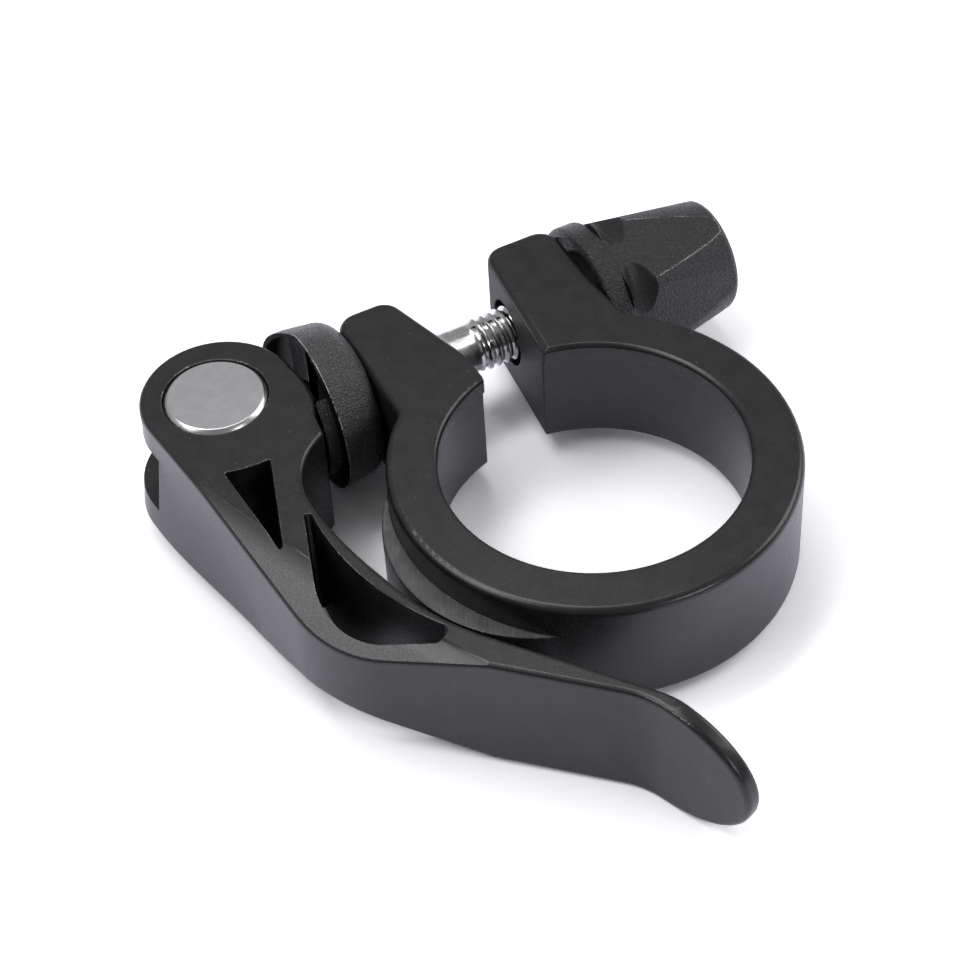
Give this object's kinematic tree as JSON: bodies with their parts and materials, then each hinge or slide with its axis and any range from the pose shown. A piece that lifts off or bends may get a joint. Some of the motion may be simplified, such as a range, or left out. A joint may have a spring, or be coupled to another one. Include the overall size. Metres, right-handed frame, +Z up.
{
  "type": "quick-release seatpost clamp",
  "caption": "Split collar that clamps round a tube, closed by a cam lever, a cross barrel, a bolt and a thumb nut.",
  "frame": {"origin": "on the axis of the tube bore, half way up the collar and level with the bolt's axis", "axes": "+Z up the bore to the stop lip, +X along the bolt from lever to nut, +Y from the bore to the lugs"},
  "size_m": [0.068, 0.0751, 0.0178],
  "materials": {
    "black_collar": "satin black anodised",
    "black_lever": "satin black anodised",
    "turned_steel": "fine turned",
    "plated_bolt": "bright zinc plated",
    "black_washer": "grained moulding",
    "black_nut": "grained moulding",
    "insert_steel": "blackened"
  },
  "bodies": {
    "clamp": {"collar": "black_collar", "clamp_bolt": "plated_bolt", "pivot_barrel": "turned_steel", "cam_washer": "black_washer"},
    "lever": {"lever": "black_lever"},
    "nut_carrier": {"nut_insert": "insert_steel"},
    "thumb_nut": {"nut_shell": "black_nut"}
  },
  "joints": [
    {"name": "lever_pivot", "type": "hinge", "parent": "clamp", "child": "lever", "pos_m": [-0.0295, 0.0259, 0], "axis": [0, 0, -1], "range_deg": [0, 170]},
    {"name": "nut_travel", "type": "slide", "parent": "clamp", "child": "nut_carrier", "axis": [1, 0, 0], "range_m": [0, 0.005]},
    {"name": "nut_spin", "type": "hinge", "parent": "nut_carrier", "child": "thumb_nut", "pos_m": [0.0127, 0.0259, 0], "axis": [1, 0, 0], "range_deg": [0, 1800]}
  ],
  "couplings": [
    {"joint": "nut_travel", "follows": "nut_spin", "m_per_rad": 0.00015915}
  ]
}
